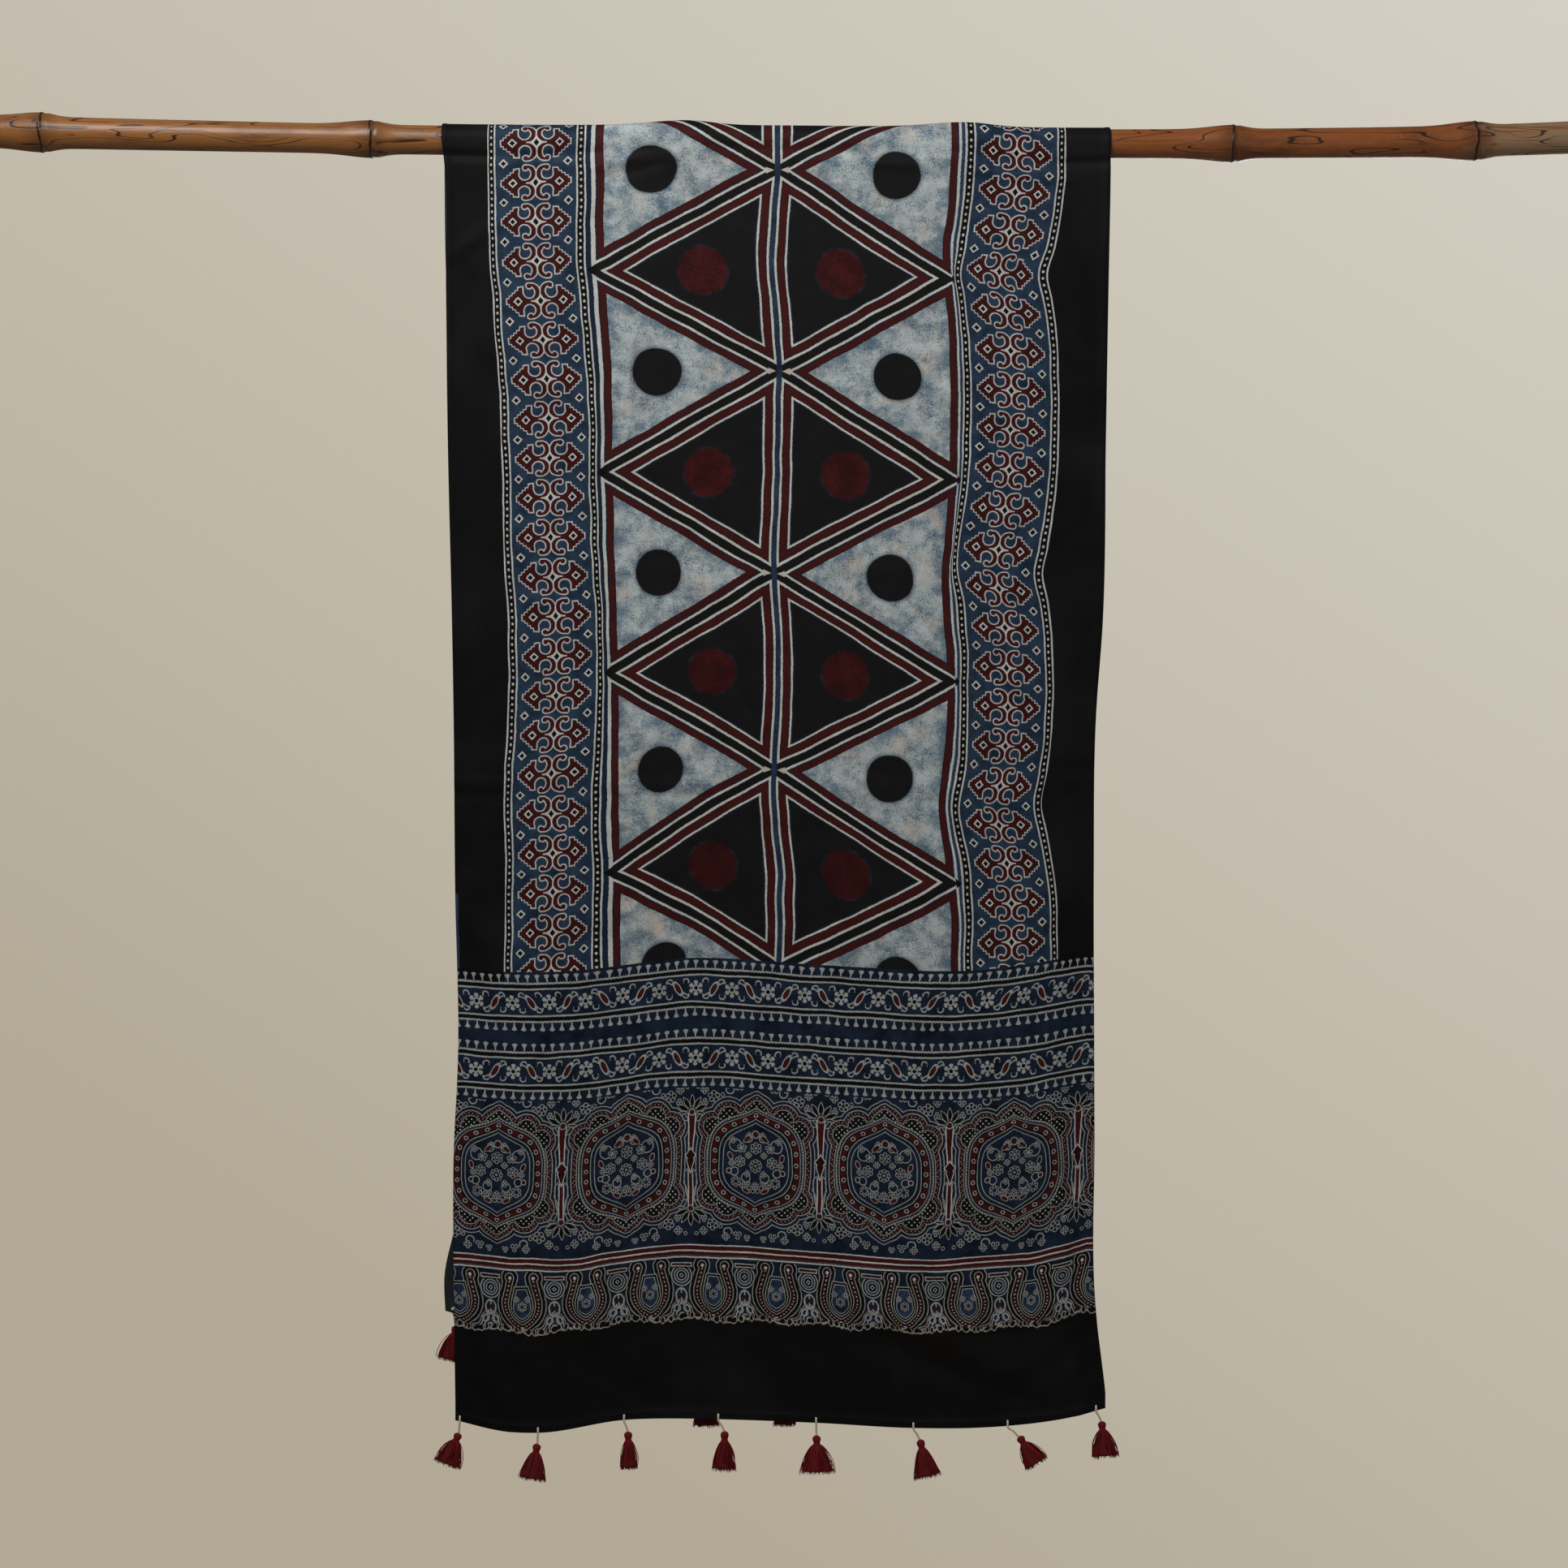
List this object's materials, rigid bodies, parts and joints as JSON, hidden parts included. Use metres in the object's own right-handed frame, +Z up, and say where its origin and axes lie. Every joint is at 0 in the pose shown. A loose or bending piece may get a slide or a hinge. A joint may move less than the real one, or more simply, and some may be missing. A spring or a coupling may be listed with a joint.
{
  "type": "ajrakh stole hung over a bamboo pole",
  "caption": "Block-printed ajrakh stole draped over a bamboo pole, front and back falls, tassels along both hems.",
  "frame": {"origin": "on the pole's axis at the middle of the cloth", "axes": "+X along the pole to the right, +Z up, the front fall faces -Y"},
  "size_m": [1.44, 0.065, 1.1332],
  "materials": {
    "printed_cloth": "soft satin-faced modal silk, resist-printed in indigo, madder, black and undyed white",
    "bamboo": "glossy amber skin with scorch streaks and dark node rings",
    "tassel_thread": "loose crimson cotton strands, matte",
    "tassel_cord": "twisted undyed cotton cord, matte"
  },
  "bodies": {
    "root": {"stole": "printed_cloth", "bamboo_pole": "bamboo", "tassel_front_1": "tassel_thread", "tassel_cord_front_1": "tassel_cord", "tassel_front_2": "tassel_thread", "tassel_cord_front_2": "tassel_cord", "tassel_front_3": "tassel_thread", "tassel_cord_front_3": "tassel_cord", "tassel_front_4": "tassel_thread", "tassel_cord_front_4": "tassel_cord", "tassel_front_5": "tassel_thread", "tassel_cord_front_5": "tassel_cord", "tassel_front_6": "tassel_thread", "tassel_cord_front_6": "tassel_cord", "tassel_front_7": "tassel_thread", "tassel_cord_front_7": "tassel_cord", "tassel_front_8": "tassel_thread", "tassel_cord_front_8": "tassel_cord", "tassel_back_1": "tassel_thread", "tassel_cord_back_1": "tassel_cord", "tassel_back_2": "tassel_thread", "tassel_cord_back_2": "tassel_cord", "tassel_back_3": "tassel_thread", "tassel_cord_back_3": "tassel_cord", "tassel_back_4": "tassel_thread", "tassel_cord_back_4": "tassel_cord", "tassel_back_5": "tassel_thread", "tassel_cord_back_5": "tassel_cord", "tassel_back_6": "tassel_thread", "tassel_cord_back_6": "tassel_cord", "tassel_back_7": "tassel_thread", "tassel_cord_back_7": "tassel_cord", "tassel_back_8": "tassel_thread", "tassel_cord_back_8": "tassel_cord"}
  },
  "joints": []
}
